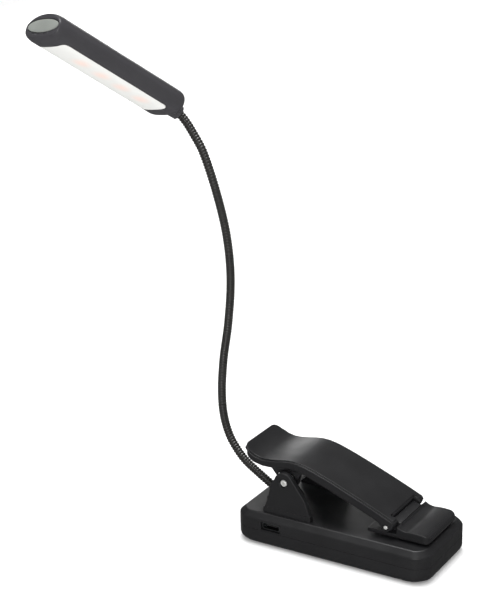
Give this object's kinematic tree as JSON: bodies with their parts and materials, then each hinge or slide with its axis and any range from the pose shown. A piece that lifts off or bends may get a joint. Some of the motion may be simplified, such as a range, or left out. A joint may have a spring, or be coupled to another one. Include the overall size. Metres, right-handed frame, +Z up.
{
  "type": "clip-on reading lamp",
  "caption": "Rechargeable clip-on reading lamp: sprung clip base with hinged jaw plate, thin gooseneck and a bar-shaped LED head with a touch pad on its tip.",
  "frame": {"origin": "middle of the underside of the clip base", "axes": "+X along the base towards the open end of the jaws, +Y across it, +Z up"},
  "size_m": [0.1464, 0.0812, 0.2149],
  "materials": {
    "black_abs": "satin moulded ABS",
    "head_abs": "satin moulded ABS",
    "zinc_steel": "zinc plated",
    "bright_steel": "bright nickel plated",
    "spring_steel": "bright spring wire",
    "tin_plated_steel": "tin plated",
    "black_nylon": "matt",
    "battery_foil": "satin pouch foil",
    "circuit_board": "solder mask",
    "black_epoxy": "matt",
    "red_pvc": "smooth",
    "black_pvc": "smooth",
    "plated_brass": "bright",
    "black_rubber": "matt",
    "frosted_acrylic": "frosted",
    "satin_silver_plastic": "satin silver",
    "black_wound_steel": "satin black spiral-wound",
    "led_package": "phosphor"
  },
  "bodies": {
    "base": {"base_top_shell": "black_abs", "base_bottom_tray": "black_abs", "cover_screw_1": "zinc_steel", "cover_screw_2": "zinc_steel", "cover_screw_3": "zinc_steel", "cover_screw_4": "zinc_steel", "battery_cell": "battery_foil", "charge_board": "circuit_board", "charge_chip": "black_epoxy", "usb_shell": "tin_plated_steel", "usb_tongue": "black_nylon", "battery_lead_red": "red_pvc", "battery_lead_black": "black_pvc", "neck_ferrule": "plated_brass", "neck_root": "black_wound_steel", "pivot_rivet": "bright_steel", "torsion_spring": "spring_steel"},
    "lever": {"clip_lever": "black_abs", "jaw_pin": "bright_steel"},
    "jaw": {"jaw_plate": "black_abs", "jaw_grip": "black_rubber"},
    "neck_low": {"neck_stretch_1": "black_wound_steel"},
    "neck_mid": {"neck_stretch_2": "black_wound_steel"},
    "neck_high": {"neck_stretch_3": "black_wound_steel"},
    "neck_top": {"neck_stretch_4": "black_wound_steel"},
    "head": {"head_shell": "head_abs", "diffuser": "frosted_acrylic", "head_collar": "head_abs", "neck_nut": "plated_brass", "neck_tip": "black_wound_steel", "touch_pad": "satin_silver_plastic", "touch_contact": "plated_brass", "led_board": "circuit_board", "led_1": "led_package", "led_2": "led_package", "led_3": "led_package", "led_4": "led_package", "led_5": "led_package", "led_6": "led_package", "led_7": "led_package", "led_8": "led_package"}
  },
  "joints": [
    {"name": "lever_open", "type": "hinge", "parent": "base", "child": "lever", "pos_m": [-0.0213, 0, 0.0278], "axis": [0, -1, 0], "range_deg": [0, 18], "stiffness_Nm_per_rad": 0.12, "springref_deg": -68.75, "deforming": ["torsion_spring"]},
    {"name": "jaw_level", "type": "hinge", "parent": "lever", "child": "jaw", "pos_m": [0.0225, 0, 0.018], "axis": [0, -1, 0], "range_deg": [-18, 0]},
    {"name": "neck_foot_bend", "type": "hinge", "parent": "base", "child": "neck_low", "pos_m": [-0.03797, 0, 0.01811], "axis": [0, 1, 0], "range_deg": [-9, 9]},
    {"name": "neck_low_swing", "type": "hinge", "parent": "neck_low", "child": "neck_mid", "pos_m": [-0.05934, 0, 0.04925], "axis": [0.9991, 0, 0.042], "range_deg": [-14, 14]},
    {"name": "neck_mid_bend", "type": "hinge", "parent": "neck_mid", "child": "neck_high", "pos_m": [-0.05479, 0, 0.08942], "axis": [0.001, 1, 0.0005], "range_deg": [-14, 14]},
    {"name": "neck_high_swing", "type": "hinge", "parent": "neck_high", "child": "neck_top", "pos_m": [-0.05677, 0, 0.12962], "axis": [0.9706, 0, 0.2409], "range_deg": [-14, 14]},
    {"name": "head_nod", "type": "hinge", "parent": "neck_top", "child": "head", "pos_m": [-0.07205, -0.00161, 0.16677], "axis": [0.9651, -0.2119, 0.1541], "range_deg": [-20, 20]}
  ],
  "couplings": [
    {"joint": "jaw_level", "follows": "lever_open", "ratio": -1}
  ]
}
